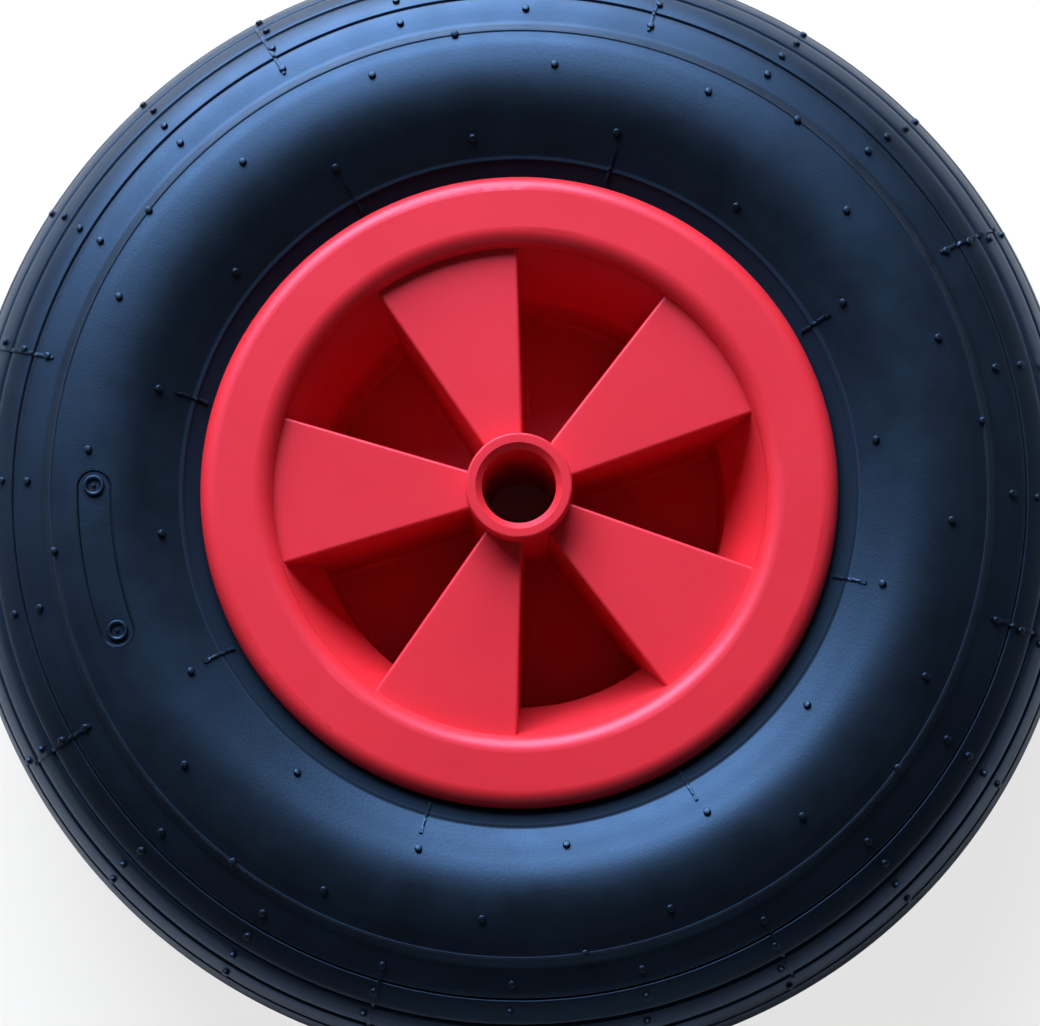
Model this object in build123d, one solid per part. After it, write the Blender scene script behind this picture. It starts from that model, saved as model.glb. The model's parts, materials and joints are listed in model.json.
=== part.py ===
from build123d import *
import math
import os

# Pneumatic barrow wheel, millimetres.
# The axle runs along Z, and the origin is on the axle line, midway between the two flanges.
# The front of the wheel faces +Z. Radii are measured from the axle line.

# Hub and bore
bore_r = 11.0                   # passage for a 21.3 mm tube axle
bore_chamfer = 1.9
hub_wall = 4.75
hub_r = bore_r + hub_wall
hub_half_length = 37.5
hub_edge_round = 0.6
hub_mid_r = (bore_r + hub_r) / 2

# Rim, as one moulding
bead_seat_r = 76.2              # nominal 6 inch bead seat
bead_seat_width = 10.5
barrel_wall = 3.0
dish_r = bead_seat_r - barrel_wall
flange_roll = 5.4               # round from the dish's mouth onto the flat flange face
flange_inner_r = dish_r + flange_roll
flange_face_width = 16.1
flange_r = flange_inner_r + flange_face_width
flange_face_z = 34.0
flange_thickness = 6.5
flange_outer_round = 5.0        # the full, soft front edge of the flange
flange_back_round = 1.2
seat_z = flange_face_z - flange_thickness
seat_end_z = seat_z - bead_seat_width
well_depth = 9.2                # drop-centre well on the tyre side
well_r = bead_seat_r - well_depth
well_wall = 4.5
well_half_width = 3.0
well_shoulder_drop = 4.0
well_shoulder_run = 2.5
well_shoulder = (bead_seat_r - well_shoulder_drop, seat_end_z - well_shoulder_run)

# Zigzag web: front plates and back plates in turn, joined by radial walls
web_count = 5
front_plate_angle = 36.0        # direction of the first front plate
plate_thickness = 3.5
front_plate_recess = 6.0        # from the flange face down to the front plates
back_plate_recess = 10.5        # the same at the back
front_plate_z = flange_face_z - front_plate_recess
back_plate_z = back_plate_recess - flange_face_z
pocket_floor_z = back_plate_z + plate_thickness
pocket_half_angle = 19.5        # of a front pocket, between its two side walls
web_offset = 1.27               # how far a front pocket's side wall passes beside the axle line
web_wall = 3.0
web_draft = 0.8                 # degrees, for the mould to open
dish_land = 0.15                # left round a pocket's mouth, inside the dish
pocket_floor_taper = 1.0        # how much the steep part of the dish wall closes in
pocket_corner_round = 2.0
plate_edge_round = 0.9

# Tyre casing; heights up the section are shares of its height above the rim line
tyre_r = 170.0
section_half_width = 40.0
rim_line_gap = 4.9              # from the flange out to a fine moulded line on the sidewall
rim_line_sink = 2.2             # how far that line lies below the flange face
rim_line_r = flange_r + rim_line_gap
rim_line_z = flange_face_z - rim_line_sink
section_height = tyre_r - rim_line_r
wide_share = 0.29               # where the casing is widest
parting_share = 0.55            # moulded line at the top of the sidewall
shoulder_share = 0.602          # edge of the tread
shoulder_width_share = 0.849    # half width there, of the half width of the section
section_wide_r = rim_line_r + wide_share * section_height
parting_line_r = rim_line_r + parting_share * section_height
shoulder_r = rim_line_r + shoulder_share * section_height
shoulder_z = shoulder_width_share * section_half_width
shoulder_drop = tyre_r - shoulder_r
tread_arc = (shoulder_drop ** 2 + shoulder_z ** 2) / (2 * shoulder_drop)
shoulder_angle = math.degrees(math.atan2(shoulder_z, tread_arc - shoulder_drop))
rib_pitch_share = 0.1715        # of the angle from crown to shoulder
centre_rib_share = 0.0987
grooves_per_side = 5
groove_width = 1.5
groove_depth = 1.3
line_width = 0.9
line_height = 0.45
tread_thickness = 7.0
sidewall_thickness = 3.6
cavity_arc_inset = 2.6          # how much tighter the cavity curves than the tread
cavity_knee_share = 0.633
bead_height = 7.8
bead_back_slope = 3.0
bead_neck = 4.5                 # rubber behind the flange's edge
bead_lead_share = 0.118         # where the inside leaves the sidewall for the bead
bead_heel_round = 3.5
flange_cover = 0.7              # how far the bead lies against the flange short of its edge
seat_clearance = 0.3            # rubber to rim

# Inner tube with its rubber-covered valve
tube_wall = 1.6
tube_clearance = 0.3            # tube to casing and tube to rim
valve_plate_index = 1           # the valve is in the back pocket behind this front plate
valve_base_r = 12.0
valve_base_thickness = 2.4
rubber_stem_r = 5.4
rubber_tip_r = 4.75
rubber_stem_length = 16.5       # from the well to the end of the rubber
valve_hole_clearance = 0.35

# Brass valve stem; heights along the valve run from the well towards the hub
stem_root = -3.4                # inner end, inside the tube
stem_tip = 27.0
stem_insert_r = 3.2
stem_thread_r = 3.85
stem_air_r = 1.8
stem_tip_chamfer = 0.5
core_bore_r = 2.2
core_seat = 10.0                # where the bore widens for the core's barrel
core_shoulder = 18.4            # where it widens again, for the core's gasket and plug

# Valve core
core_clearance = 0.06
plug_r = 2.65
plug_bottom = 20.6
plug_top = 25.6
plug_tang_width = 2.4
plug_tang_height = 1.6
gasket_r = 2.55
barrel_r = 1.75
barrel_bottom = 10.6
barrel_room_r = 1.25
barrel_end_wall = 0.7
pin_r = 0.45
pin_top = 26.6
pin_hole_r = 0.75
pin_collar_r = 0.9
pin_collar_bottom = 17.6
pin_collar_length = 0.8
pin_head_r = 0.85
pin_head_length = 0.4
pin_travel = 1.2
seal_r = 1.45
seal_length = 1.9
seal_gap = 0.02
spring_wire = 0.28
spring_coil_r = 0.95
spring_turns = 6
spring_end_gap = 0.05

# Dust cap
cap_r = 4.75
cap_mouth = 17.0
cap_end_wall = 1.8
cap_tip_gap = 0.4
cap_thread_clearance = 0.12
cap_flutes = 12
cap_flute_r = 0.5
cap_edge_round = 0.7


def turned(points):
    """A solid of revolution about the axle from straight runs of (radius, height)."""
    with BuildPart() as part:
        with BuildSketch(Plane.XZ):
            with BuildLine():
                Polyline(*points, close=True)
            make_face()
        revolve(axis=Axis.Z)
    return part.part


def on_valve(solid):
    """Carries a solid drawn up the Z axis to the valve: Z = 0 at the well, growing towards the hub."""
    angle = front_plate_angle + valve_plate_index * 360 / web_count
    towards_hub = Vector(-1, 0, 0).rotate(Axis.Z, angle)
    seat = Vector(well_r, 0, 0).rotate(Axis.Z, angle)
    return Plane(origin=seat, x_dir=(0, 0, 1), z_dir=towards_hub) * solid


def hub():
    """The tube round the bore, with chamfered mouths."""
    with BuildPart() as part:
        with BuildSketch(Plane.XZ):
            with BuildLine():
                Polyline(
                    (bore_r, hub_half_length - bore_chamfer),
                    (bore_r + bore_chamfer, hub_half_length),
                    (hub_r, hub_half_length),
                    (hub_r, -hub_half_length),
                    (bore_r + bore_chamfer, -hub_half_length),
                    (bore_r, bore_chamfer - hub_half_length),
                    close=True,
                )
            make_face()
        revolve(axis=Axis.Z)
        ends = part.edges().filter_by(GeomType.CIRCLE)
        fillet(ends.filter_by(lambda e: abs(e.radius - hub_r) < 0.01), hub_edge_round)
    return part.part


def dish(side):
    """One half of the rim's face side, from the web's plate out to the flange, as profile points."""
    plate_z = front_plate_z if side > 0 else -back_plate_z
    bow = flange_roll * math.sqrt(0.5)
    return [
        (hub_mid_r, side * plate_z),
        (dish_r, side * plate_z),
        (dish_r, side * (flange_face_z - flange_roll)),
        (flange_inner_r - bow, side * (flange_face_z - flange_roll + bow)),
        (flange_inner_r, side * flange_face_z),
    ]


def disc():
    """The web before its pockets, with the barrel and both flanges, turned as one."""
    tyre_side = [
        (flange_r, flange_face_z),
        (flange_r, seat_z),
        (bead_seat_r, seat_z),
        (bead_seat_r, seat_end_z),
        well_shoulder,
        (well_r, well_half_width),
    ]
    front = dish(1)
    back = dish(-1)
    with BuildPart() as part:
        with BuildSketch(Plane.XZ):
            with BuildLine():
                Polyline(*front[:3])
                ThreePointArc(*front[2:])
                Polyline(front[-1], *tyre_side, *[(r, -z) for r, z in reversed(tyre_side)], back[-1])
                ThreePointArc(*back[:1:-1])
                Polyline(*back[2::-1], front[0])
            make_face()
        revolve(axis=Axis.Z)
        circles = part.edges().filter_by(GeomType.CIRCLE)
        rims = circles.filter_by(lambda e: abs(e.radius - flange_r) < 0.01)
        for height, blend in ((flange_face_z, flange_outer_round), (seat_z, flange_back_round)):
            fillet(rims.filter_by(lambda e: abs(abs(e.center().Z) - height) < 0.01), blend)
    return part.part


def pocket_wall(side, hand):
    """The plane of a pocket's side wall, facing out of the pocket on its left (hand 1) or right (-1)."""
    lean = math.tan(math.radians(web_draft))
    half_angle = pocket_half_angle if side > 0 else 180 / web_count - pocket_half_angle
    offset = web_offset if side > 0 else web_wall - web_offset
    spread = math.radians(half_angle)
    facing = (-math.sin(spread), hand * math.cos(spread), -side * lean)
    return Plane(origin=(offset / math.sin(spread), 0, front_plate_z), z_dir=facing)


def pocket(side):
    """One pocket of the web, opening to the front (side 1) or the back (side -1), along +X."""
    floor_z = pocket_floor_z if side > 0 else front_plate_z - plate_thickness
    plate_z = front_plate_z if side > 0 else -back_plate_z
    break_r = well_r - well_wall
    mouth_r = dish_r - dish_land
    tool = Rot(0, 0, 180) * turned([
        (hub_mid_r, floor_z),
        (break_r - pocket_floor_taper, floor_z),
        (break_r, 0),
        (mouth_r, side * plate_z),
        (mouth_r, side * (plate_z + plate_thickness)),
        (hub_mid_r, side * (plate_z + plate_thickness)),
    ])
    for hand in (1, -1):
        tool = split(tool, bisect_by=pocket_wall(side, hand), keep=Keep.BOTTOM)
    outside_hub = tool.edges().filter_by(lambda e: e.center().X > hub_r)
    floor_edges = outside_hub.filter_by(lambda e: abs(e.center().Z - floor_z) < 0.01)
    return fillet(floor_edges, pocket_corner_round).solid()


def rim():
    body = disc()
    step = 360 / web_count
    front = pocket(1)
    back = pocket(-1)
    for k in range(web_count):
        plate = front_plate_angle + k * step
        body -= Rot(0, 0, plate + step / 2) * front
        body -= Rot(0, 0, plate) * back
    body += hub()
    hole_r = rubber_stem_r + valve_hole_clearance
    body -= on_valve(Cylinder(hole_r, 4 * barrel_wall))
    straight = body.edges().filter_by(GeomType.LINE)
    plate_faces = (front_plate_z, back_plate_z)
    lips = straight.filter_by(lambda e: min(abs(e.center().Z - z) for z in plate_faces) < 0.01)
    return fillet(lips, plate_edge_round)


def tread_point(angle, sink=0.0):
    """A point on the tread's crown curve, at an angle from the crown towards the front."""
    r = tread_arc - sink
    turn = math.radians(angle)
    return (tyre_r - tread_arc + r * math.cos(turn), r * math.sin(turn))


def side_radius(r):
    """Radius of the sidewall's arc on the given side of the casing's widest place."""
    end_r, end_z = (rim_line_r, rim_line_z) if r < section_wide_r else (shoulder_r, shoulder_z)
    run = end_r - section_wide_r
    drop = section_half_width - end_z
    return (run * run + drop * drop) / (2 * drop)


def side_point(r, lift=0.0):
    """A point on the outer sidewall at a radius, or raised from it by lift."""
    arc = side_radius(r)
    sine = (r - section_wide_r) / arc
    middle_z = section_half_width - arc
    reach = arc + lift
    return (section_wide_r + reach * sine, middle_z + reach * math.sqrt(1 - sine * sine))


def side_arc(start_r, end_r):
    return ThreePointArc(side_point(start_r), side_point((start_r + end_r) / 2), side_point(end_r))


def fine_line(r):
    """A fine raised line moulded round the sidewall."""
    half = line_width / 2
    return Polyline(side_point(r - half), side_point(r, line_height), side_point(r + half))


def tread_half():
    """Front half of the tread from the shoulder to the crown: ribs with vee grooves between them."""
    spread = math.degrees(groove_width / 2 / tread_arc)
    start = shoulder_angle
    for k in reversed(range(grooves_per_side)):
        middle = shoulder_angle * (centre_rib_share + k * rib_pitch_share)
        edge = middle + spread
        ThreePointArc(tread_point(start), tread_point((start + edge) / 2), tread_point(edge))
        Polyline(tread_point(edge), tread_point(middle, groove_depth), tread_point(middle - spread))
        start = middle - spread
    ThreePointArc(tread_point(start), tread_point(start / 2), tread_point(0))


def casing_outline():
    """Section through the casing's outside, with the space inside it filled."""
    half_line = line_width / 2
    seat_r = bead_seat_r + seat_clearance
    bead_z = seat_z - seat_clearance
    with BuildSketch() as sketch:
        with BuildLine():
            Polyline(
                (seat_r, 0),
                (seat_r, bead_z),
                (flange_r - flange_cover, bead_z),
                side_point(rim_line_r - half_line),
            )
            fine_line(rim_line_r)
            side_arc(rim_line_r + half_line, section_wide_r)
            side_arc(section_wide_r, parting_line_r - half_line)
            fine_line(parting_line_r)
            Line(side_point(parting_line_r + half_line), tread_point(shoulder_angle))
            tread_half()
            mirror(about=Plane.XZ)
        make_face()
        inner = sketch.vertices().filter_by(lambda v: abs(v.X - seat_r) < 0.01)
        fillet(inner.filter_by(lambda v: abs(v.Y) > bead_z / 2), bead_heel_round)
    return sketch.sketch


def cavity(inset=0.0):
    """Section through the space between casing and rim, drawn in by inset on all sides."""
    crown_r = tyre_r - tread_thickness
    cavity_arc = tread_arc - cavity_arc_inset
    knee = math.radians(cavity_knee_share * shoulder_angle)
    curve_r = crown_r - cavity_arc
    knee_point = (curve_r + cavity_arc * math.cos(knee), cavity_arc * math.sin(knee))
    half_knee = (curve_r + cavity_arc * math.cos(knee / 2), cavity_arc * math.sin(knee / 2))
    wide_point = side_point(section_wide_r, -sidewall_thickness)
    low_r = rim_line_r + bead_lead_share * (section_wide_r - rim_line_r)
    middle_point = side_point((low_r + section_wide_r) / 2, -sidewall_thickness)
    low_point = side_point(low_r, -sidewall_thickness)
    bead_top = bead_seat_r + bead_height
    with BuildSketch() as sketch:
        with BuildLine():
            ThreePointArc((crown_r, 0), half_knee, knee_point)
            TangentArc(wide_point, knee_point, tangent=(1, 0))
            ThreePointArc(wide_point, middle_point, low_point)
            Polyline(
                low_point,
                (flange_r, seat_z - seat_clearance - bead_neck),
                (bead_top + bead_back_slope, seat_end_z + bead_back_slope),
                (bead_top, seat_end_z),
                (bead_seat_r, seat_end_z),
                well_shoulder,
                (well_r, well_half_width),
                (well_r, 0),
            )
            mirror(about=Plane.XZ)
        make_face()
        if inset > 0:
            offset(amount=-inset, mode=Mode.REPLACE)
    return sketch.sketch


def spun(section):
    """Turns a section drawn with radius along X and height along Y once round the axle."""
    return revolve(Plane.XZ * section, axis=Axis.Z)


def tyre():
    return spun(casing_outline() - cavity())


def inner_tube():
    outside = spun(cavity(tube_clearance))
    inside = spun(cavity(tube_clearance + tube_wall))
    base_top = -(tube_clearance + tube_wall + valve_base_thickness)
    base = on_valve(Pos(0, 0, base_top / 2) * Cylinder(valve_base_r, -base_top))
    stem = on_valve(turned([
        (0, -tube_clearance - tube_wall),
        (rubber_stem_r, -tube_clearance - tube_wall),
        (rubber_stem_r, well_wall + valve_hole_clearance),
        (rubber_tip_r, rubber_stem_length),
        (0, rubber_stem_length),
    ]))
    passage = on_valve(turned([
        (0, base_top - 1),
        (stem_air_r, base_top - 1),
        (stem_air_r, stem_root),
        (stem_insert_r, stem_root),
        (stem_insert_r, rubber_stem_length + 1),
        (0, rubber_stem_length + 1),
    ]))
    return (outside - inside) + (base & outside) + stem - passage


def valve_stem():
    thread_bore_r = plug_r + core_clearance
    return on_valve(turned([
        (stem_air_r, stem_root),
        (stem_insert_r, stem_root),
        (stem_insert_r, rubber_stem_length),
        (stem_thread_r, rubber_stem_length),
        (stem_thread_r, stem_tip - stem_tip_chamfer),
        (stem_thread_r - stem_tip_chamfer, stem_tip),
        (thread_bore_r, stem_tip),
        (thread_bore_r, core_shoulder),
        (core_bore_r, core_shoulder),
        (core_bore_r, core_seat),
        (stem_air_r, core_seat),
    ]))


def core_plug():
    """Threaded top of the valve core, cut down to a flat tang for the core key."""
    plug = turned([
        (pin_hole_r, plug_bottom),
        (plug_r, plug_bottom),
        (plug_r, plug_top),
        (pin_hole_r, plug_top),
    ])
    tang_z = plug_top - plug_tang_height
    cheek = Box(plug_r, 2 * plug_r, plug_tang_height, align=(Align.MIN, Align.CENTER, Align.MIN))
    for turn in (0, 180):
        plug -= Rot(0, 0, turn) * Pos(plug_tang_width / 2, 0, tang_z) * cheek
    return on_valve(plug)


def core_barrel():
    room_z = barrel_bottom + barrel_end_wall
    return on_valve(turned([
        (pin_hole_r, barrel_bottom),
        (barrel_r, barrel_bottom),
        (barrel_r, plug_bottom),
        (barrel_room_r, plug_bottom),
        (barrel_room_r, room_z),
        (pin_hole_r, room_z),
    ]))


def core_gasket():
    return on_valve(turned([
        (barrel_r, core_shoulder),
        (gasket_r, core_shoulder),
        (gasket_r, plug_bottom),
        (barrel_r, plug_bottom),
    ]))


def core_pin():
    """Pin with its riveted head under the seal and the collar that the spring lifts."""
    seal_top = barrel_bottom - seal_gap
    head_top = seal_top - seal_length
    return on_valve(turned([
        (0, head_top - pin_head_length),
        (pin_head_r, head_top - pin_head_length),
        (pin_head_r, head_top),
        (pin_r, head_top),
        (pin_r, pin_collar_bottom),
        (pin_collar_r, pin_collar_bottom),
        (pin_collar_r, pin_collar_bottom + pin_collar_length),
        (pin_r, pin_collar_bottom + pin_collar_length),
        (pin_r, pin_top),
        (0, pin_top),
    ]))


def core_seal():
    seal_top = barrel_bottom - seal_gap
    return on_valve(turned([
        (pin_r, seal_top - seal_length),
        (seal_r, seal_top - seal_length),
        (seal_r, seal_top),
        (pin_r, seal_top),
    ]))


def core_spring():
    """Coil round the pin, drawn at the length it has when the pin is fully pressed."""
    bottom = barrel_bottom + barrel_end_wall + spring_wire / 2
    top = pin_collar_bottom - pin_travel - spring_end_gap - spring_wire / 2
    path = Helix(pitch=(top - bottom) / spring_turns, height=top - bottom, radius=spring_coil_r)
    section = Plane(origin=path @ 0, z_dir=path % 0) * Circle(spring_wire / 2)
    return on_valve(Pos(0, 0, bottom) * sweep(section, path=path, is_frenet=True))


def valve_cap():
    bore = stem_thread_r + cap_thread_clearance
    room_top = stem_tip + cap_tip_gap
    cap_top = room_top + cap_end_wall
    cap = turned([
        (bore, cap_mouth),
        (cap_r, cap_mouth),
        (cap_r, cap_top),
        (0, cap_top),
        (0, room_top),
        (bore, room_top),
    ])
    circles = cap.edges().filter_by(GeomType.CIRCLE)
    rims = circles.filter_by(lambda e: abs(e.radius - cap_r) < 0.01)
    cap = fillet(rims.sort_by(Axis.Z)[-1:], cap_edge_round)
    flute_middle = (cap_mouth + room_top) / 2
    flute = Pos(cap_r, 0, flute_middle) * Cylinder(cap_flute_r, room_top - cap_mouth)
    for k in range(cap_flutes):
        cap -= Rot(0, 0, k * 360 / cap_flutes) * flute
    return on_valve(cap)


def main():
    os.makedirs("parts", exist_ok=True)
    pieces = {
        "rim": rim,
        "tyre": tyre,
        "inner_tube": inner_tube,
        "valve_stem": valve_stem,
        "valve_core_plug": core_plug,
        "valve_core_barrel": core_barrel,
        "valve_core_gasket": core_gasket,
        "valve_core_pin": core_pin,
        "valve_core_seal": core_seal,
        "valve_core_spring": core_spring,
        "valve_cap": valve_cap,
    }
    for name, make in pieces.items():
        export_step(make(), f"parts/{name}.step")


main()
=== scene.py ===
import json
import math

import bmesh
import bpy
from mathutils import Euler, Matrix, Vector
from mathutils.bvhtree import BVHTree


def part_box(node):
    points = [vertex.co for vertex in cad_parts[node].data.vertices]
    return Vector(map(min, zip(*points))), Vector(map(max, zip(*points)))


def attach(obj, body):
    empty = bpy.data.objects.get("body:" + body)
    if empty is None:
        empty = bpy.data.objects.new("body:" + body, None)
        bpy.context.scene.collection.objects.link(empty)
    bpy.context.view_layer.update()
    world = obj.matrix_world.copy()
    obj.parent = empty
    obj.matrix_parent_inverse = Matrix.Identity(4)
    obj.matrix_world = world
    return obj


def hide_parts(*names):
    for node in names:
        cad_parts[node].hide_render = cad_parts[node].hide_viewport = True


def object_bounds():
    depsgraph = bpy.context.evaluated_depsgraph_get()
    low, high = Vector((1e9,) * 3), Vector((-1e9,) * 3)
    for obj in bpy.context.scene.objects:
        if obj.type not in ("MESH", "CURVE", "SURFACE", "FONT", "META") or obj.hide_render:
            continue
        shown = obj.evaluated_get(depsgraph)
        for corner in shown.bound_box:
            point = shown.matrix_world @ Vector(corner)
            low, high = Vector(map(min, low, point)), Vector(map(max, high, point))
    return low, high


# Barrow wheel lying on its back, in metres. The axle runs up Z through the origin.
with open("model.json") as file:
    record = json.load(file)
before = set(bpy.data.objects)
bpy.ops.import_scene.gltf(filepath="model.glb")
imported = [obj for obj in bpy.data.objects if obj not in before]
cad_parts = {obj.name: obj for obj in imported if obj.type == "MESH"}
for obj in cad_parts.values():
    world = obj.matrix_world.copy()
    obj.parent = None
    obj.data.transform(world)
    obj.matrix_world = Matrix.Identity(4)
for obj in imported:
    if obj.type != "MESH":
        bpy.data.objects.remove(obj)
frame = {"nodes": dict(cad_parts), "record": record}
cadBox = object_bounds()
weldDistance = 3e-6          # points closer than this are one point
flatAngle = 0.2              # degrees between triangles that are one flat face
frontSide, backSide = 1, -1
print("frame loaded:", len(frame["nodes"]), "nodes")


# Camera and studio

viewSettings = {
    "distance": 1.117,
    "focalLength": 126.9,
    "sensorWidth": 36.0,
    "tiltBack": 7.93,        # degrees off the axle, towards the picture's lower edge
    "leanRight": 0.49,
    "aim": Vector((0.0, -0.003, -0.0004)),
}
lightSettings = {
    "window": {"size": (1.8, 1.6), "place": (-0.47, 1.66, 0.95), "power": 111.0, "colour": (0.9, 0.95, 1.0)},
    "left": {"size": (0.8, 1.2), "place": (-1.6, 0.1, 0.8), "power": 1.2, "colour": (0.85, 0.92, 1.0)},
    "right": {"size": (0.8, 1.2), "place": (1.6, 0.1, 0.8), "power": 0.6, "colour": (0.9, 0.95, 1.0)},
    "low": {"size": (1.6, 0.8), "place": (0.2, -1.6, 0.8), "power": 1.4, "colour": (1.0, 0.90, 0.80)},
}
studio = {
    "floorSize": 8.0,
    "floorColour": (0.93, 0.93, 0.93, 1.0),
    "floorGlow": 0.75,       # share of plain white that only the camera sees
    "glowStart": 0.10,       # it fades out under the wheel, between these radii
    "glowEnd": 0.16,
    "worldColour": (1.0, 0.80, 0.58, 1.0),
    "worldStrength": 0.034,
}


def addCamera(settings):
    turn = Euler((math.radians(settings["tiltBack"]), math.radians(settings["leanRight"]), 0.0)).to_matrix()
    cameraData = bpy.data.cameras.new("photoCamera")
    cameraData.lens = settings["focalLength"]
    cameraData.sensor_width = settings["sensorWidth"]
    cameraData.clip_start = 0.05
    cameraData.clip_end = 30.0
    camera = bpy.data.objects.new("photoCamera", cameraData)
    place = settings["aim"] + turn.col[2] * settings["distance"]
    camera.matrix_world = Matrix.Translation(place) @ turn.to_4x4()
    bpy.context.collection.objects.link(camera)
    bpy.context.scene.camera = camera


def addLight(name, settings):
    lampData = bpy.data.lights.new(name, "AREA")
    lampData.shape = "RECTANGLE"
    lampData.size, lampData.size_y = settings["size"]
    lampData.energy = settings["power"]
    lampData.color = settings["colour"]
    lamp = bpy.data.objects.new(name, lampData)
    place = Vector(settings["place"])
    lamp.location = place
    lamp.rotation_euler = place.to_track_quat("Z", "Y").to_euler()   # its back away from the wheel
    bpy.context.collection.objects.link(lamp)


def addFloor(settings):
    mesh = bmesh.new()
    bmesh.ops.create_grid(mesh, x_segments=1, y_segments=1, size=settings["floorSize"] / 2)
    bmesh.ops.translate(mesh, verts=mesh.verts, vec=(0.0, 0.0, cadBox[0].z))
    data = bpy.data.meshes.new("studioFloor")
    mesh.to_mesh(data)
    mesh.free()
    floor = bpy.data.objects.new("studioFloor", data)
    bpy.context.collection.objects.link(floor)
    paper = bpy.data.materials.new("palePaper")
    paper.use_nodes = True
    tree = paper.node_tree
    shader = tree.nodes["Principled BSDF"]
    shader.inputs["Base Color"].default_value = settings["floorColour"]
    shader.inputs["Roughness"].default_value = 0.9
    path = tree.nodes.new("ShaderNodeLightPath")
    coordinates = tree.nodes.new("ShaderNodeTexCoord")
    radius = tree.nodes.new("ShaderNodeVectorMath")
    radius.operation = "LENGTH"
    fade = tree.nodes.new("ShaderNodeMapRange")
    fade.inputs["From Min"].default_value = settings["glowStart"]
    fade.inputs["From Max"].default_value = settings["glowEnd"]
    fade.inputs["To Max"].default_value = settings["floorGlow"]
    share = tree.nodes.new("ShaderNodeMath")
    share.operation = "MULTIPLY"
    glow = tree.nodes.new("ShaderNodeEmission")
    mix = tree.nodes.new("ShaderNodeMixShader")
    tree.links.new(coordinates.outputs["Object"], radius.inputs[0])
    tree.links.new(radius.outputs["Value"], fade.inputs["Value"])
    tree.links.new(fade.outputs["Result"], share.inputs[1])
    tree.links.new(path.outputs["Is Camera Ray"], share.inputs[0])
    tree.links.new(share.outputs[0], mix.inputs[0])
    tree.links.new(shader.outputs[0], mix.inputs[1])
    tree.links.new(glow.outputs[0], mix.inputs[2])
    tree.links.new(mix.outputs[0], tree.nodes["Material Output"].inputs["Surface"])
    data.materials.append(paper)


def addWorld(settings):
    world = bpy.data.worlds.new("softSky")
    world.use_nodes = True
    background = world.node_tree.nodes["Background"]
    background.inputs["Color"].default_value = settings["worldColour"]
    background.inputs["Strength"].default_value = settings["worldStrength"]
    bpy.context.scene.world = world


addCamera(viewSettings)
for lightName, lightValues in lightSettings.items():
    addLight(lightName, lightValues)
addFloor(studio)
addWorld(studio)
bpy.context.scene.view_settings.view_transform = "Standard"
print("camera, lights and floor ready")


# Finishes

def newFinish(name, colour, roughness, metallic=0.0):
    finish = bpy.data.materials.new(name)
    finish.use_nodes = True
    shader = finish.node_tree.nodes["Principled BSDF"]
    shader.inputs["Base Color"].default_value = (*colour, 1.0)
    shader.inputs["Roughness"].default_value = roughness
    shader.inputs["Metallic"].default_value = metallic
    return finish, finish.node_tree, shader


def addNoise(tree, scale, detail=4.0, roughness=0.55):
    coordinates = tree.nodes.get("Texture Coordinate") or tree.nodes.new("ShaderNodeTexCoord")
    noise = tree.nodes.new("ShaderNodeTexNoise")
    noise.inputs["Scale"].default_value = scale
    noise.inputs["Detail"].default_value = detail
    noise.inputs["Roughness"].default_value = roughness
    tree.links.new(coordinates.outputs["Object"], noise.inputs["Vector"])
    return noise.outputs["Fac"]


def addRamp(tree, source, stops):
    ramp = tree.nodes.new("ShaderNodeValToRGB")
    for element, (position, colour) in zip(ramp.color_ramp.elements, stops):
        element.position = position
        element.color = (*colour, 1.0)
    tree.links.new(source, ramp.inputs["Fac"])
    return ramp.outputs["Color"]


def addBump(tree, shader, source, strength, depth):
    bump = tree.nodes.new("ShaderNodeBump")
    bump.inputs["Strength"].default_value = strength
    bump.inputs["Distance"].default_value = depth
    tree.links.new(source, bump.inputs["Height"])
    tree.links.new(bump.outputs["Normal"], shader.inputs["Normal"])
    return bump


def addRoughness(tree, shader, source, low, high):
    spread = tree.nodes.new("ShaderNodeMapRange")
    spread.inputs["To Min"].default_value = low
    spread.inputs["To Max"].default_value = high
    tree.links.new(source, spread.inputs["Value"])
    tree.links.new(spread.outputs["Result"], shader.inputs["Roughness"])


rimPlasticSettings = {
    "colour": (0.71, 0.027, 0.044),
    "cloud": {"scale": 22.0, "detail": 3.0},
    "cloudStops": ((0.3, (0.69, 0.025, 0.040)), (0.7, (0.74, 0.029, 0.048))),
    "roughness": (0.40, 0.50),
    "polish": {"scale": 60.0},           # where it is duller or brighter
    "grain": {"scale": 1400.0, "detail": 2.0},
    "grainStrength": 0.12,
    "grainDepth": 0.0002,
}


def makeRimPlastic(settings):
    finish, tree, shader = newFinish("rimPlastic", settings["colour"], 0.45)
    cloud = addRamp(tree, addNoise(tree, **settings["cloud"]), settings["cloudStops"])
    tree.links.new(cloud, shader.inputs["Base Color"])
    shader.inputs["Specular IOR Level"].default_value = 0.68
    # painted reflection: this bluish tint on the plastic's reflections stands in for bluish light, as the
    # lamps are near white
    shader.inputs["Specular Tint"].default_value = (0.50, 0.45, 0.85, 1.0)
    shader.inputs["Subsurface Weight"].default_value = 0.25
    shader.inputs["Subsurface Radius"].default_value = (1.0, 0.12, 0.10)
    shader.inputs["Subsurface Scale"].default_value = 0.003
    shader.inputs["Coat Weight"].default_value = 0.07
    shader.inputs["Coat Roughness"].default_value = 0.10
    addRoughness(tree, shader, addNoise(tree, **settings["polish"]), *settings["roughness"])
    height = addNoise(tree, **settings["grain"])
    addBump(tree, shader, height, settings["grainStrength"], settings["grainDepth"])
    return finish


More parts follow.
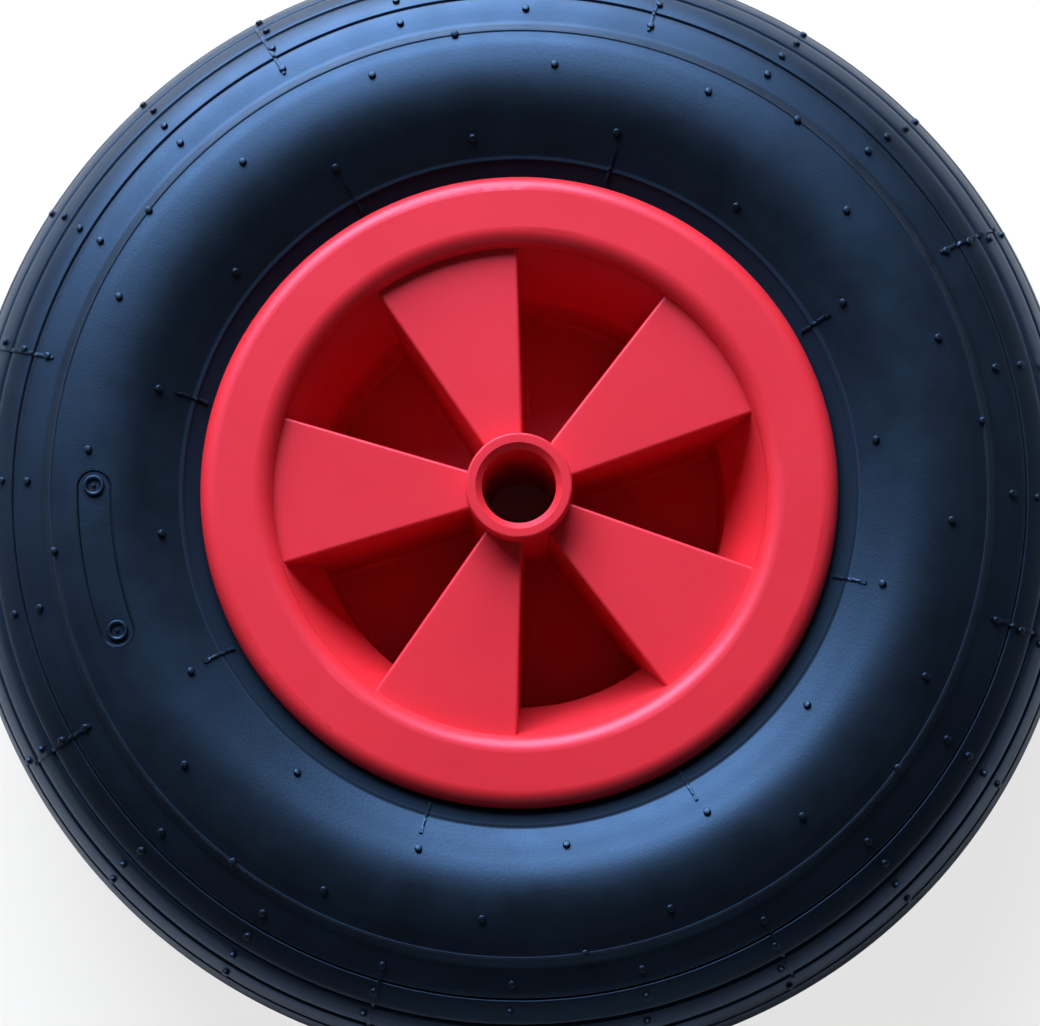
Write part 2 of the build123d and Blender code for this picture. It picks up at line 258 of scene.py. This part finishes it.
padSettings = {               # blank plate pad on the front sidewall
    "angle": 190.1,           # degrees round the axle
    "radius": 0.1252,
    "halfLength": 0.0265,
    "halfWidth": 0.0049,
    "edge": 0.0005,           # half the width of the step down into it
    "depth": 0.0007,
    "rimRadius": 0.0003,      # half of it stands over the rubber
    "rimSteps": 20,           # along each side and each end
    "rimRoundness": 3,
    "buttonReach": 0.0219,    # from the pad's middle to each button
    "buttonProfile": ((0.0, 0.0009), (0.0004, 0.0008), (0.0006, 0.0001), (0.0017, 0.0001),
                      (0.0021, 0.0009), (0.0025, 0.0011), (0.0030, 0.0009), (0.0033, -0.0003)),
    "buttonSteps": 28,
}
beadShade = {"inner": 0.1003, "outer": 0.1015, "roughness": 0.95}   # dull rubber beside the rim
rubberSettings = {
    "colour": (0.0026, 0.0030, 0.0040),
    "cloud": {"scale": 14.0, "detail": 5.0},
    "cloudStops": ((0.3, (0.0020, 0.0024, 0.0032)), (0.7, (0.0034, 0.0040, 0.0055))),
    "roughness": (0.34, 0.53),
    "polish": {"scale": 70.0, "detail": 5.0},
    "grain": {"scale": 1100.0, "detail": 3.0},
    "grainStrength": 0.16,
    "grainDepth": 0.0002,
}


def addMath(tree, operation, *values):
    node = tree.nodes.new("ShaderNodeMath")
    node.operation = operation
    for k, value in enumerate(values):
        if isinstance(value, (int, float)):
            node.inputs[k].default_value = value
        else:
            tree.links.new(value, node.inputs[k])
    return node.outputs[0]


def addLength(tree, first, second):
    return addMath(tree, "SQRT", addMath(tree, "ADD", addMath(tree, "MULTIPLY", first, first),
                                         addMath(tree, "MULTIPLY", second, second)))


def addPlace(tree, degrees):
    coordinates = tree.nodes["Texture Coordinate"]
    turned = tree.nodes.new("ShaderNodeMapping")
    turned.inputs["Rotation"].default_value[2] = -math.radians(degrees)
    place = tree.nodes.new("ShaderNodeSeparateXYZ")
    tree.links.new(coordinates.outputs["Object"], turned.inputs["Vector"])
    tree.links.new(turned.outputs["Vector"], place.inputs["Vector"])
    return place.outputs["X"], place.outputs["Y"], place.outputs["Z"]


def addBeadShade(tree, shader, settings):
    x, y, _ = addPlace(tree, 0.0)
    dull = tree.nodes.new("ShaderNodeMapRange")
    dull.inputs["From Min"].default_value = settings["inner"]
    dull.inputs["From Max"].default_value = settings["outer"]
    dull.inputs["To Min"].default_value = settings["roughness"]
    dull.inputs["To Max"].default_value = 0.0
    tree.links.new(addLength(tree, x, y), dull.inputs["Value"])
    evenly = shader.inputs["Roughness"].links[0].from_socket
    tree.links.new(addMath(tree, "MAXIMUM", evenly, dull.outputs["Result"]), shader.inputs["Roughness"])


def addPadHeight(tree, settings):
    x, y, z = addPlace(tree, settings["angle"])
    along = addMath(tree, "MULTIPLY", addMath(tree, "ARCTAN2", y, x), settings["radius"])
    straight = settings["halfLength"] - settings["halfWidth"]
    beyond = addMath(tree, "SUBTRACT", addMath(tree, "ABSOLUTE", along), straight)
    across = addMath(tree, "SUBTRACT", addLength(tree, x, y), settings["radius"])
    reach = addLength(tree, addMath(tree, "MAXIMUM", beyond, 0.0), across)
    wall = tree.nodes.new("ShaderNodeMapRange")
    wall.interpolation_type = "SMOOTHSTEP"
    wall.inputs["From Min"].default_value = settings["halfWidth"] - settings["edge"]
    wall.inputs["From Max"].default_value = settings["halfWidth"] + settings["edge"]
    tree.links.new(reach, wall.inputs["Value"])
    back = addMath(tree, "LESS_THAN", z, 0.0)
    return addMath(tree, "MAXIMUM", wall.outputs["Result"], back)


def makeTyreRubber(settings):
    finish, tree, shader = newFinish("tyreRubber", settings["colour"], 0.48)
    cloud = addRamp(tree, addNoise(tree, **settings["cloud"]), settings["cloudStops"])
    tree.links.new(cloud, shader.inputs["Base Color"])
    shader.inputs["Specular IOR Level"].default_value = 1.0
    # painted reflection: this blue tint on the rubber's reflections stands in for bluish light, as the lamps
    # are near white
    shader.inputs["Specular Tint"].default_value = (0.21, 0.47, 1.0, 1.0)
    addRoughness(tree, shader, addNoise(tree, **settings["polish"]), *settings["roughness"])
    addBeadShade(tree, shader, beadShade)
    height = addNoise(tree, **settings["grain"])
    grain = addBump(tree, shader, height, settings["grainStrength"], settings["grainDepth"])
    pad = addBump(tree, shader, addPadHeight(tree, padSettings), 1.0, padSettings["depth"])
    tree.links.new(grain.outputs["Normal"], pad.inputs["Normal"])
    return finish


def makeTurnedBrass():
    finish, tree, shader = newFinish("turnedBrass", (0.78, 0.57, 0.27), 0.28, 1.0)
    addRoughness(tree, shader, addNoise(tree, scale=300.0), low=0.22, high=0.36)
    return finish


def makePlain(name, colour, roughness, metallic=0.0):
    finish, tree, shader = newFinish(name, colour, roughness, metallic)
    addBump(tree, shader, addNoise(tree, scale=1600.0, detail=2.0), strength=0.1, depth=0.0001)
    return finish


finishes = {
    "rim_plastic": makeRimPlastic(rimPlasticSettings),
    "tyre_rubber": makeTyreRubber(rubberSettings),
    "tube_rubber": makePlain("tubeRubber", (0.014, 0.014, 0.015), 0.6),
    "valve_brass": makeTurnedBrass(),
    "gasket_plastic": makePlain("gasketPlastic", (0.62, 0.05, 0.03), 0.5),
    "seal_rubber": makePlain("sealRubber", (0.02, 0.02, 0.02), 0.55),
    "spring_steel": makePlain("springSteel", (0.62, 0.62, 0.64), 0.3, 1.0),
    "cap_plastic": makePlain("capPlastic", (0.016, 0.016, 0.017), 0.4),
}
print("finishes ready:", len(finishes))


# Shared makers

def mergedCopy(node):
    mesh = bmesh.new()
    mesh.from_mesh(frame["nodes"][node].data)
    bmesh.ops.remove_doubles(mesh, verts=mesh.verts, dist=weldDistance)
    bmesh.ops.dissolve_limit(mesh, angle_limit=math.radians(flatAngle), use_dissolve_boundaries=False,
                             verts=mesh.verts, edges=mesh.edges, delimit={"NORMAL"})
    return mesh


def addPiece(mesh, name, slotName, body="wheel", sharpAngle=32.0):
    data = bpy.data.meshes.new(name)
    mesh.to_mesh(data)
    mesh.free()
    data.shade_smooth()
    data.set_sharp_from_angle(angle=math.radians(sharpAngle))
    data.materials.append(finishes[slotName])
    piece = bpy.data.objects.new(name, data)
    bpy.context.collection.objects.link(piece)
    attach(piece, body)
    return piece


def joinInto(mesh, part):
    held = bpy.data.meshes.new("heldPart")
    part.to_mesh(held)
    part.free()
    mesh.from_mesh(held)
    bpy.data.meshes.remove(held)


def aroundAxle(mesh, turns):
    spots = mesh.verts[:] + mesh.edges[:] + mesh.faces[:]
    for turn in turns[1:]:
        copied = bmesh.ops.duplicate(mesh, geom=spots)["geom"]
        newVerts = [part for part in copied if isinstance(part, bmesh.types.BMVert)]
        onward = Matrix.Rotation(turn - turns[0], 3, "Z")
        bmesh.ops.rotate(mesh, verts=newVerts, cent=(0, 0, 0), matrix=onward)


# Tyre casing: the frame's own section, its rib edges softened, spun round the axle

tyreSettings = {
    "spinSteps": 300,
    "edgeRound": 0.0003,    # of the rib edges
    "edgeAngle": 25.0,      # degrees between two runs of the section that count as a corner
    "treadFrom": 0.143,     # radius beyond which corners belong to the grooves
    "grooveCorners": 3,     # corners that each groove has in the section
    "grooves": ((0.0010, 0.0015), (0.0016, 0.0005), (0.0015, 0.0002)),   # width, shift; shoulder first
    "valleyFrom": 0.1388,   # a soft valley below the shoulder rib: it deepens from here
    "valley": 0.1409,
    "valleyTo": 0.1429,
    "valleyDepth": 0.0003,
    "valleyMargins": (0.0001, 0.0015),   # how far past the valley its section is cut finer
    "valleyCuts": 14,
    "shoulderHeight": 0.02,           # the outside of the casing lies farther than this from its middle
    "sidewall": (0.0975, 0.1385),     # radii between which the three lines below act
    "sidewallFade": 0.010,
    "sidewallDrop": 0.0012,           # leaves the nubs their height inside the frame's box
    "sidewallShift": 0.0025,          # outwards, as the photograph's highlights lie
}


def sectionOf(node):
    mesh = mergedCopy(node)
    everything = mesh.verts[:] + mesh.edges[:] + mesh.faces[:]
    cut = bmesh.ops.bisect_plane(mesh, geom=everything, dist=weldDistance, plane_co=(0, 0, 0),
                                 plane_no=(0, 1, 0))
    onCut = {part for part in cut["geom_cut"] if isinstance(part, bmesh.types.BMEdge)}
    section = {edge for edge in onCut if min(vert.co.x for vert in edge.verts) > 0}
    bmesh.ops.delete(mesh, geom=mesh.faces[:], context="FACES_ONLY")
    loose = [edge for edge in mesh.edges if edge not in section]
    bmesh.ops.delete(mesh, geom=loose, context="EDGES")
    stray = [vert for vert in mesh.verts if not vert.link_edges]
    bmesh.ops.delete(mesh, geom=stray, context="VERTS")
    return mesh


def cornerAngle(vert):
    first, second = (edge.other_vert(vert).co - vert.co for edge in vert.link_edges)
    return math.degrees(math.pi - first.angle(second))


def narrowGrooves(mesh, settings):
    each = settings["grooveCorners"]
    for side in (frontSide, backSide):
        outer = [vert for vert in mesh.verts if vert.co.x > settings["treadFrom"] and vert.co.z * side > 0
                 and cornerAngle(vert) > settings["edgeAngle"]]
        outer.sort(key=lambda vert: -vert.co.z * side)
        grooves = [outer[k:k + each] for k in range(0, len(outer) - each + 1, each)]
        for groove, (width, shift) in zip(grooves, settings["grooves"]):
            lips = sorted(groove, key=lambda vert: vert.co.length)[1:]     # the floor is nearest the axle
            lips.sort(key=lambda vert: -abs(vert.co.z))
            middle = (lips[0].co + lips[1].co) / 2
            outward = (lips[1].co - lips[0].co).normalized()
            lips[0].co = middle - outward * width / 2
            lips[1].co = middle + outward * width / 2
            for vert in groove:
                vert.co -= outward * shift


def addShoulderValley(mesh, settings):
    low, middle, high = settings["valleyFrom"], settings["valley"], settings["valleyTo"]
    under, over = settings["valleyMargins"]
    shoulder = settings["shoulderHeight"]
    band = [edge for edge in mesh.edges if abs(edge.verts[0].co.z) > shoulder
            and all(low - under < vert.co.x < high + over for vert in edge.verts)]
    bmesh.ops.subdivide_edges(mesh, edges=band, cuts=settings["valleyCuts"])
    for vert in mesh.verts:
        if low < vert.co.x < high and abs(vert.co.z) > shoulder:
            rise = (vert.co.x - low) / (middle - low)
            fall = (high - vert.co.x) / (high - middle)
            share = smoothShare(min(rise, fall))
            vert.co.z -= math.copysign(share * settings["valleyDepth"], vert.co.z)


def smoothShare(value):
    share = max(0.0, min(1.0, value))
    return share * share * (3 - 2 * share)


def settleSidewall(mesh, settings):
    low, high = settings["sidewall"]
    fade = settings["sidewallFade"]
    mesh.normal_update()
    outside = [vert for vert in mesh.verts if vert.normal.z * vert.co.z > 0
               and low < vert.co.xy.length < high]
    for vert in outside:
        radius = vert.co.xy.length
        share = smoothShare((radius - low) / fade) * smoothShare((high - radius) / fade)
        vert.co.z -= math.copysign(settings["sidewallDrop"] * share, vert.co.z)
        vert.co.xy *= (radius + settings["sidewallShift"] * share) / radius


def makeTyre(settings):
    mesh = sectionOf("tyre")
    narrowGrooves(mesh, settings)
    addShoulderValley(mesh, settings)
    corners = [vert for vert in mesh.verts if cornerAngle(vert) > settings["edgeAngle"]]
    bmesh.ops.bevel(mesh, geom=corners, offset=settings["edgeRound"], offset_type="OFFSET", segments=2,
                    profile=0.5, affect="VERTICES", clamp_overlap=True, material=-1)
    bmesh.ops.remove_doubles(mesh, verts=mesh.verts, dist=weldDistance)
    bmesh.ops.spin(mesh, geom=mesh.verts[:] + mesh.edges[:], axis=(0, 0, 1), cent=(0, 0, 0), dvec=(0, 0, 0),
                   angle=math.tau, steps=settings["spinSteps"], use_merge=True, use_duplicate=False)
    bmesh.ops.recalc_face_normals(mesh, faces=mesh.faces)
    settleSidewall(mesh, settings)
    surface = BVHTree.FromBMesh(mesh)
    print("tyre section corners:", len(corners), "faces:", len(mesh.faces))
    tyre = addPiece(mesh, "tyreCasing", "tyre_rubber", sharpAngle=40.0)
    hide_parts("tyre")
    return surface


tyreSurface = makeTyre(tyreSettings)
print("tyre ready")


# Moulding marks on the casing: vent nubs, flash and a blank plate pad

nubSettings = {
    "radius": 0.0012,
    "topRadius": 0.00105,
    "height": 0.0011,
    "sink": 0.0004,               # its foot below the rubber
    "edge": 0.00025,
    "segments": 12,
}
nubRings = [                  # first is the angle of a ring's first nub, in degrees
    {"radius": 0.1662, "count": 24, "first": 13.6},
    {"radius": 0.1609, "count": 24, "first": 13.5},
    {"radius": 0.1537, "count": 24, "first": 14.0},
    {"radius": 0.1457, "count": 24, "first": 14.2},
    {"radius": 0.1383, "count": 8, "first": 8.0},
    {"radius": 0.1315, "count": 8, "first": 19.5, "missing": 4},   # the front one beside the plate pad
    {"radius": 0.1275, "count": 8, "first": 40.2},
    {"radius": 0.1107, "count": 8, "first": 29.7},
    {"radius": 0.1065, "count": 8, "first": 7.5},
]
flashSettings = {
    "count": 8,
    "first": 29.3,                # degrees, as for the nubs
    "width": 0.0010,
    "height": 0.0006,
    "sink": 0.0003,
    "runs": ((0.0965, 0.1062), (0.1440, 0.1650)),   # radii at the bead and across the ribs
    "step": 0.0007,
    "round": 0.9,                 # of half the width
    "roundSteps": 3,
}
aboveTyre = 0.2                   # height from which the marks are dropped onto the casing


def surfaceSpot(radius, turn, side):
    across = Vector((math.cos(turn) * radius, math.sin(turn) * radius, 0.0))
    start = across + Vector((0, 0, side * aboveTyre))
    spot, facing, _, _ = tyreSurface.ray_cast(start, Vector((0, 0, -side)))
    return spot, facing


def addNub(mesh, spot, facing, settings):
    made = bmesh.ops.create_cone(mesh, cap_ends=True, segments=settings["segments"],
                                 radius1=settings["radius"], radius2=settings["topRadius"],
                                 depth=settings["height"] + settings["sink"])
    verts = made["verts"]
    top = [edge for edge in mesh.edges if edge.verts[0] in verts and edge.verts[1] in verts
           and min(vert.co.z for vert in edge.verts) > 0]
    lift = (settings["height"] - settings["sink"]) / 2
    rounded = bmesh.ops.bevel(mesh, geom=top, offset=settings["edge"], segments=2, profile=0.5,
                              affect="EDGES", clamp_overlap=True, material=-1)
    verts = set(rounded["verts"]) | {vert for vert in verts if vert.is_valid}
    seat = Matrix.Translation(spot + facing * lift) @ facing.to_track_quat("Z", "Y").to_matrix().to_4x4()
    bmesh.ops.transform(mesh, matrix=seat, verts=list(verts))


def makeNubs(rings, settings):
    mesh = bmesh.new()
    for ring in rings:
        for side in (frontSide, backSide):
            one = bmesh.new()
            spot, facing = surfaceSpot(ring["radius"], 0.0, side)
            addNub(one, spot, facing, settings)
            step = math.tau / ring["count"]
            missing = ring.get("missing") if side == frontSide else None
            aroundAxle(one, [k * step for k in range(ring["count"]) if k != missing])
            bmesh.ops.rotate(one, verts=one.verts, cent=(0, 0, 0),
                             matrix=Matrix.Rotation(math.radians(ring["first"]), 3, "Z"))
            joinInto(mesh, one)
    addPiece(mesh, "ventNubs", "tyre_rubber", sharpAngle=50.0)


def makeFlash(settings):
    mesh = bmesh.new()
    half = settings["width"] / 2
    for side in (frontSide, backSide):
        for low, high in settings["runs"]:
            one = bmesh.new()
            spots = round((high - low) / settings["step"])
            chain = []
            for k in range(spots + 1):
                spot, facing = surfaceSpot(low + (high - low) * k / spots, 0.0, side)
                chain.append(one.verts.new(spot + facing * settings["height"] - Vector((0, half, 0))))
            edges = [one.edges.new(pair) for pair in zip(chain, chain[1:])]
            drawn = bmesh.ops.extrude_edge_only(one, edges=edges)["geom"]
            across = [part for part in drawn if isinstance(part, bmesh.types.BMVert)]
            bmesh.ops.translate(one, verts=across, vec=(0, settings["width"], 0))
            bmesh.ops.recalc_face_normals(one, faces=one.faces)
            if one.faces[0].normal.z * side < 0:
                bmesh.ops.reverse_faces(one, faces=one.faces)
            bmesh.ops.solidify(one, geom=one.faces, thickness=settings["height"] + settings["sink"])
            bmesh.ops.recalc_face_normals(one, faces=one.faces)
            long = [edge for edge in one.edges if abs(edge.verts[0].co.y - edge.verts[1].co.y) < weldDistance
                    and abs(edge.verts[0].co.x - edge.verts[1].co.x) > settings["step"] / 2]
            bmesh.ops.bevel(one, geom=long, offset=half * settings["round"], segments=settings["roundSteps"],
                            profile=0.5, affect="EDGES", clamp_overlap=True, material=-1)
            bmesh.ops.remove_doubles(one, verts=one.verts, dist=weldDistance)
            first = math.radians(settings["first"])
            bmesh.ops.rotate(one, verts=one.verts, cent=(0, 0, 0), matrix=Matrix.Rotation(first, 3, "Z"))
            aroundAxle(one, [k * math.tau / settings["count"] for k in range(settings["count"])])
            joinInto(mesh, one)
    addPiece(mesh, "mouldFlash", "tyre_rubber", sharpAngle=60.0)


def makeButtons(settings):
    mesh = bmesh.new()
    for end in (-1, 1):
        one = bmesh.new()
        chain = [one.verts.new((radius, 0, height)) for radius, height in settings["buttonProfile"]]
        for pair in zip(chain, chain[1:]):
            one.edges.new(pair)
        bmesh.ops.spin(one, geom=one.verts[:] + one.edges[:], axis=(0, 0, 1), cent=(0, 0, 0), dvec=(0, 0, 0),
                       angle=math.tau, steps=settings["buttonSteps"], use_merge=True, use_duplicate=False)
        bmesh.ops.remove_doubles(one, verts=one.verts, dist=weldDistance)
        rim = [edge for edge in one.edges if edge.is_boundary]
        bmesh.ops.holes_fill(one, edges=rim, sides=0)
        bmesh.ops.recalc_face_normals(one, faces=one.faces)
        turn = math.radians(settings["angle"]) + end * settings["buttonReach"] / settings["radius"]
        spot, facing = surfaceSpot(settings["radius"], turn, frontSide)
        seat = Matrix.Translation(spot) @ facing.to_track_quat("Z", "Y").to_matrix().to_4x4()
        bmesh.ops.transform(one, matrix=seat, verts=one.verts)
        joinInto(mesh, one)
    addPiece(mesh, "padButtons", "tyre_rubber", sharpAngle=50.0)


def padOutline(settings):
    reach = settings["halfLength"] - settings["halfWidth"]
    steps = settings["rimSteps"]
    places = []
    for end in (1, -1):       # a long side, then the round end that it runs into
        for k in range(steps):
            places.append((end * reach * (2 * k / steps - 1), -end * settings["halfWidth"]))
        for k in range(steps):
            around = math.pi * (k / steps - 0.5)
            along = end * (reach + settings["halfWidth"] * math.cos(around))
            places.append((along, end * settings["halfWidth"] * math.sin(around)))
    return places


def makePadRim(settings):
    path = bpy.data.curves.new("padPath", "CURVE")
    path.dimensions = "3D"
    path.bevel_depth = settings["rimRadius"]
    path.bevel_resolution = settings["rimRoundness"]
    places = padOutline(settings)
    spline = path.splines.new("POLY")
    spline.points.add(len(places) - 1)
    for point, (along, across) in zip(spline.points, places):
        turn = math.radians(settings["angle"]) + along / settings["radius"]
        spot, _ = surfaceSpot(settings["radius"] + across, turn, frontSide)
        point.co = (*spot, 1.0)
    spline.use_cyclic_u = True
    holder = bpy.data.objects.new("padPath", path)
    tube = bpy.data.meshes.new_from_object(holder)
    mesh = bmesh.new()
    mesh.from_mesh(tube)
    bmesh.ops.remove_doubles(mesh, verts=mesh.verts, dist=weldDistance)
    bmesh.ops.recalc_face_normals(mesh, faces=mesh.faces)
    bpy.data.objects.remove(holder)
    bpy.data.curves.remove(path)
    bpy.data.meshes.remove(tube)
    addPiece(mesh, "padRim", "tyre_rubber", sharpAngle=60.0)


makeNubs(nubRings, nubSettings)
makeFlash(flashSettings)
makeButtons(padSettings)
makePadRim(padSettings)
print("moulding marks ready")


# Valve stem: the frame's own shape cut back to the thread's root, with a running thread over it

stemSettings = {
    "threadDepth": 0.00042,
    "threadPitch": 0.0008,
    "crestWidth": 0.0001,
    "threadFrom": 0.0006,       # from the free end
    "threadTurns": 12,
    "buried": 0.00003,          # the thread's foot below the root
    "steps": 32,                # to a turn
}


def makeStem(settings):
    low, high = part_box("valve_stem")
    centre = (low + high) / 2
    outward = Vector((centre.x, centre.y, 0)).normalized()
    core = mergedCopy("valve_stem")
    levels = [vert.co.dot(outward) for vert in core.verts]
    middles = [outward * level + Vector((0, 0, centre.z)) for level in levels]
    radii = [(vert.co - middle).length for vert, middle in zip(core.verts, middles)]
    crest = max(radii)
    root = crest - settings["threadDepth"]
    for vert, middle, radius in zip(core.verts, middles, radii):
        if radius > crest - weldDistance:
            vert.co = middle + (vert.co - middle) * root / radius
    stem = addPiece(core, "valveStem", "valve_brass")

    thread = bmesh.new()
    pitch, start = settings["threadPitch"], settings["threadFrom"]
    base = root - settings["buried"]
    points = []
    for k in range(settings["threadTurns"]):
        points += [(base, k * pitch), (crest, (k + 0.5) * pitch - settings["crestWidth"] / 2),
                   (crest, (k + 0.5) * pitch + settings["crestWidth"] / 2)]
    points.append((base, settings["threadTurns"] * pitch))
    chain = [thread.verts.new((radius, 0, start + level)) for radius, level in points]
    for pair in zip(chain, chain[1:]):
        thread.edges.new(pair)
    bmesh.ops.spin(thread, geom=thread.verts[:] + thread.edges[:], axis=(0, 0, 1), cent=(0, 0, 0),
                   dvec=(0, 0, pitch / settings["steps"]), angle=math.tau, steps=settings["steps"],
                   use_merge=False, use_duplicate=False)
    bmesh.ops.remove_doubles(thread, verts=thread.verts, dist=weldDistance)
    end = start + (settings["threadTurns"] + 1) * pitch
    for vert in thread.verts:                 # the thread runs in and out over its first and last turns
        reach = min(vert.co.z - start, end - vert.co.z) / pitch
        share = max(0.0, min(1.0, reach))
        radius = vert.co.xy.length
        vert.co.xy *= (base + (radius - base) * share) / radius
    holes = [edge for edge in thread.edges if edge.is_boundary]
    bmesh.ops.holes_fill(thread, edges=holes, sides=0)
    bmesh.ops.recalc_face_normals(thread, faces=thread.faces)
    tip = Matrix.Translation(outward * min(levels) + Vector((0, 0, centre.z)))
    seat = tip @ outward.to_track_quat("Z", "Y").to_matrix().to_4x4()
    bmesh.ops.transform(thread, matrix=seat, verts=thread.verts)
    addPiece(thread, "valveThread", "valve_brass", sharpAngle=50.0)
    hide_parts("valve_stem")


makeStem(stemSettings)
print("valve stem ready")


# CAD nodes that keep their own shape

for nodeName in ("rim", "inner_tube", "valve_core_plug", "valve_core_barrel", "valve_core_gasket",
                 "valve_core_pin", "valve_core_seal", "valve_core_spring", "valve_cap"):
    row = next(part for part in frame["record"]["subparts"] if part["node"] == nodeName)
    node = frame["nodes"][nodeName]
    node.data.materials.clear()
    node.data.materials.append(finishes[row["material_slot"]])
print("rim, tube and valve finished")
